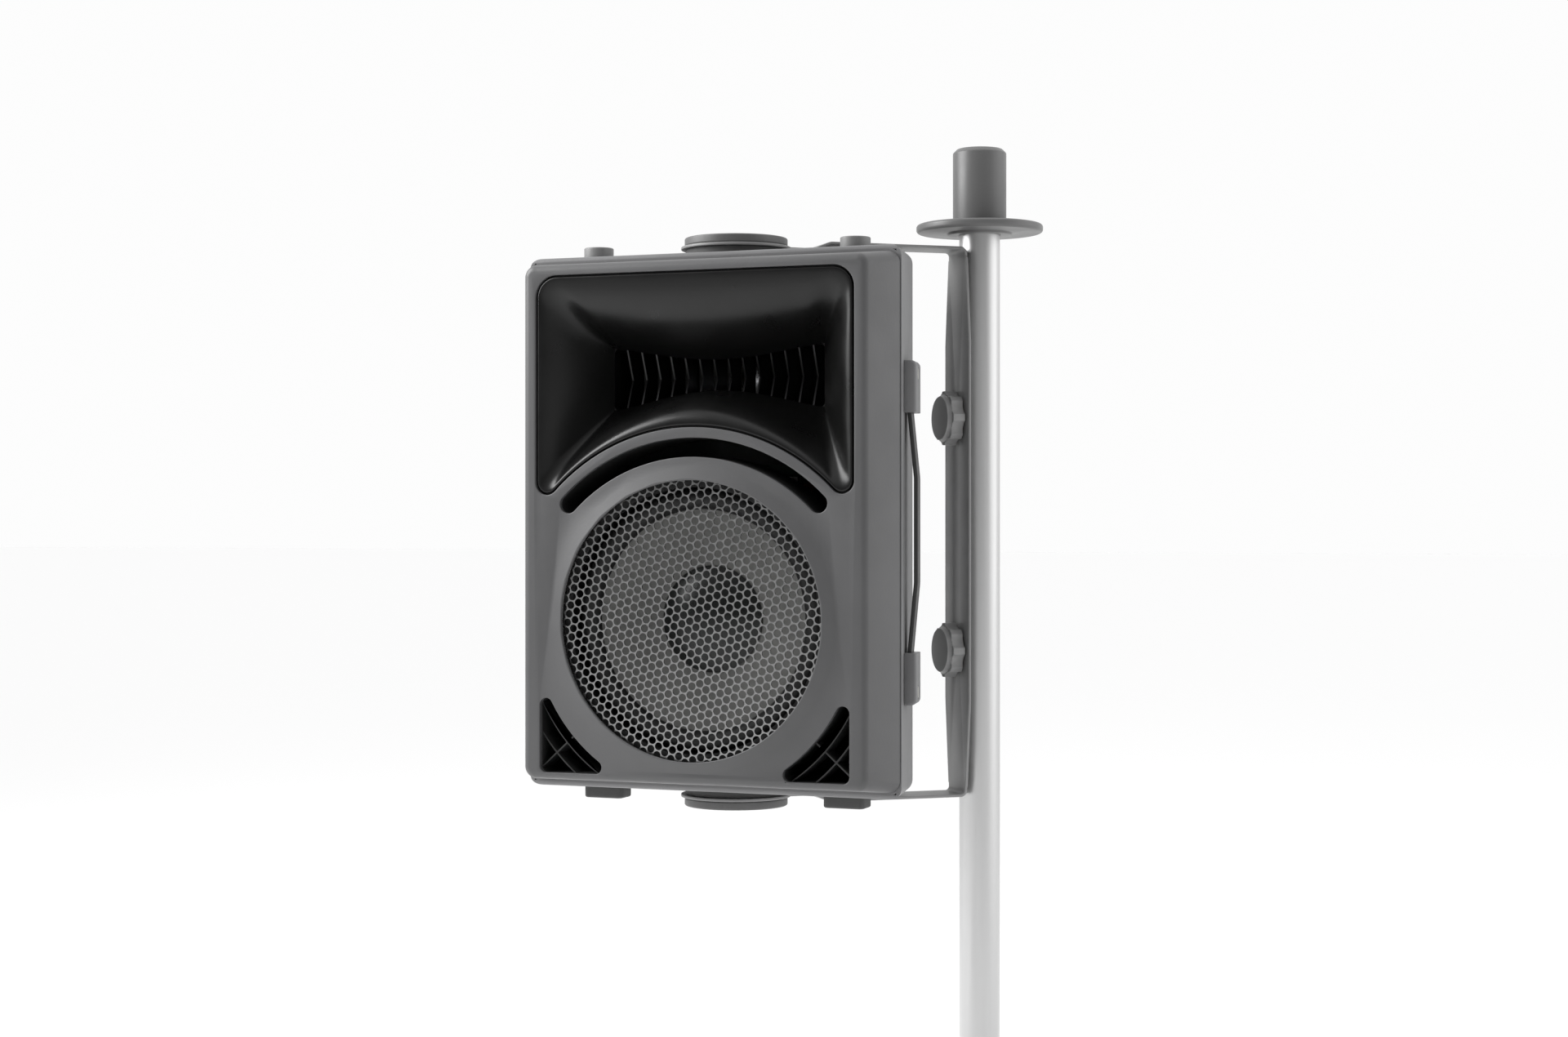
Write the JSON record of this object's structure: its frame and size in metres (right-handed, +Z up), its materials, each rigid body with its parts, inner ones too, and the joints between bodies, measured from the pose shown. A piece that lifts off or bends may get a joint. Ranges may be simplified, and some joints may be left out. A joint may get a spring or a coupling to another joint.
{
  "type": "pa speaker",
  "caption": "Compact two-way PA speaker with a moulded cabinet, horn and round grille, panning in a steel U-yoke clamped to a stand pole.",
  "frame": {"origin": "centre of the pole's foot", "axes": "+Z up along the pole, the speaker faces -Y, +X is to the right seen from the front"},
  "size_m": [0.3204, 0.2439, 0.6954],
  "materials": {
    "pole_steel": "satin chrome",
    "spigot_nylon": "moulded glass-filled nylon",
    "yoke_paint": "powder coat",
    "zinc_steel": "zinc plated",
    "frame_plastic": "fine spark texture",
    "shell_plastic": "fine spark texture",
    "cap_plastic": "fine spark texture",
    "grille_steel": "galvanised perforated sheet",
    "horn_plastic": "satin moulded",
    "port_plastic": "moulded",
    "magnet_ferrite": "ground ferrite",
    "basket_paint": "black enamel",
    "surround_rubber": "treated cloth and foam",
    "spider_cloth": "resin-dipped cloth",
    "strap_rubber": "ribbed moulded strap",
    "foot_rubber": "moulded",
    "button_plastic": "moulded",
    "wheel_plastic": "moulded",
    "knob_plastic": "moulded",
    "socket_plastic": "moulded",
    "circuit_board": "glass epoxy",
    "copper_wire": "enamelled",
    "capacitor_film": "wrapped film",
    "resistor_ceramic": "cement block",
    "damping_felt": "needled polyester",
    "cone_paper": "pressed paper pulp",
    "cap_paper": "doped cloth",
    "diaphragm_foil": "formed foil"
  },
  "bodies": {
    "stand": {"pole_tube": "pole_steel", "pole_end_plug": "port_plastic", "spigot_sleeve": "spigot_nylon", "spigot_flange": "spigot_nylon", "yoke": "yoke_paint", "pole_rivet_nuts": "zinc_steel", "knob_washers": "zinc_steel"},
    "cabinet": {"front_frame": "frame_plastic", "rear_shell": "shell_plastic", "cabinet_screws": "zinc_steel", "grille": "grille_steel", "horn": "horn_plastic", "throat_vanes": "horn_plastic", "throat_adapter": "horn_plastic", "hf_magnet": "magnet_ferrite", "hf_pole_plug": "zinc_steel", "hf_cover": "basket_paint", "hf_suspension": "surround_rubber", "woofer_gasket": "surround_rubber", "woofer_basket": "basket_paint", "woofer_surround": "surround_rubber", "woofer_spider": "spider_cloth", "woofer_top_plate": "zinc_steel", "woofer_magnet": "magnet_ferrite", "woofer_pole_plate": "zinc_steel", "woofer_screws": "zinc_steel", "arc_port": "port_plastic", "corner_port_left": "port_plastic", "corner_port_right": "port_plastic", "handle_cap_upper": "cap_plastic", "handle_cap_lower": "cap_plastic", "handle_strap": "strap_rubber", "handle_screws": "zinc_steel", "feet": "foot_rubber", "top_buttons": "button_plastic", "pivot_insert_top": "zinc_steel", "pivot_insert_bottom": "zinc_steel", "pivot_pad_top": "foot_rubber", "pivot_pad_bottom": "foot_rubber", "connector_plate": "basket_paint", "connector_plate_screws": "zinc_steel", "input_socket": "socket_plastic", "link_socket": "socket_plastic", "crossover_board": "circuit_board", "crossover_coils": "copper_wire", "crossover_capacitors": "capacitor_film", "crossover_resistors": "resistor_ceramic", "damping_pad": "damping_felt"},
    "woofer_moving": {"woofer_cone": "cone_paper", "woofer_dust_cap": "cap_paper", "woofer_voice_coil": "copper_wire"},
    "hf_moving": {"hf_diaphragm": "diaphragm_foil"},
    "top_wheel": {"top_wheel": "wheel_plastic", "top_wheel_stud": "zinc_steel"},
    "bottom_wheel": {"bottom_wheel": "wheel_plastic", "bottom_wheel_stud": "zinc_steel"},
    "upper_knob": {"upper_knob": "knob_plastic", "upper_knob_stud": "zinc_steel"},
    "lower_knob": {"lower_knob": "knob_plastic", "lower_knob_stud": "zinc_steel"}
  },
  "joints": [
    {"name": "cabinet_pan", "type": "hinge", "parent": "stand", "child": "cabinet", "pos_m": [-0.14013, -0.11551, 0.43], "axis": [0, 0, 1], "continuous": true},
    {"name": "top_wheel_turn", "type": "hinge", "parent": "cabinet", "child": "top_wheel", "pos_m": [-0.14013, -0.11551, 0.622], "axis": [0, 0, 1], "continuous": true},
    {"name": "bottom_wheel_turn", "type": "hinge", "parent": "cabinet", "child": "bottom_wheel", "pos_m": [-0.14013, -0.11551, 0.238], "axis": [0, 0, 1], "continuous": true},
    {"name": "upper_knob_turn", "type": "hinge", "parent": "stand", "child": "upper_knob", "pos_m": [-0.01358, -0.0112, 0.5034], "axis": [0.7716, 0.6361, 0], "continuous": true},
    {"name": "lower_knob_turn", "type": "hinge", "parent": "stand", "child": "lower_knob", "pos_m": [-0.01358, -0.0112, 0.339], "axis": [0.7716, 0.6361, 0], "continuous": true},
    {"name": "woofer_travel", "type": "slide", "parent": "cabinet", "child": "woofer_moving", "axis": [0, -1, 0], "range_m": [-0.004, 0.004], "stiffness_N_per_m": 2000, "deforming": ["woofer_surround", "woofer_spider"]},
    {"name": "hf_travel", "type": "slide", "parent": "cabinet", "child": "hf_moving", "axis": [0, -1, 0], "range_m": [-0.0004, 0.0004], "stiffness_N_per_m": 2000, "deforming": ["hf_suspension"]}
  ]
}
